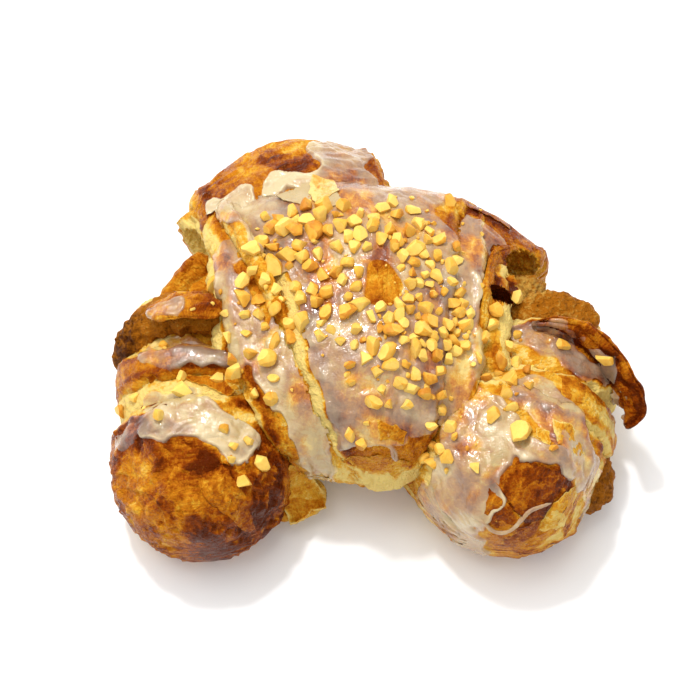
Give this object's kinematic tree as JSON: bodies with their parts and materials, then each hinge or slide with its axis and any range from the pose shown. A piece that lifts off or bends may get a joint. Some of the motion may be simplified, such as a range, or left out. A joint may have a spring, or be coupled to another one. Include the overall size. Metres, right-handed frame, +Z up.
{
  "type": "crescent pastry",
  "caption": "Glazed crescent pastry of rolled, layered dough with a baked filling, thick horns and chopped nuts on top.",
  "frame": {"origin": "middle of the footprint, on the surface the pastry stands on", "axes": "+X across the pastry from horn to horn, +Y towards the back of the crescent, +Z up; the horns point to -Y"},
  "size_m": [0.1409, 0.117, 0.0533],
  "materials": {
    "dough": "baked golden crust, paler at torn edges",
    "filling": "rough, dark brown, crumbly",
    "glaze": "glossy translucent sugar glaze",
    "nuts": "chopped and lightly toasted"
  },
  "bodies": {
    "root": {"dough": "dough", "filling": "filling"}
  },
  "joints": []
}
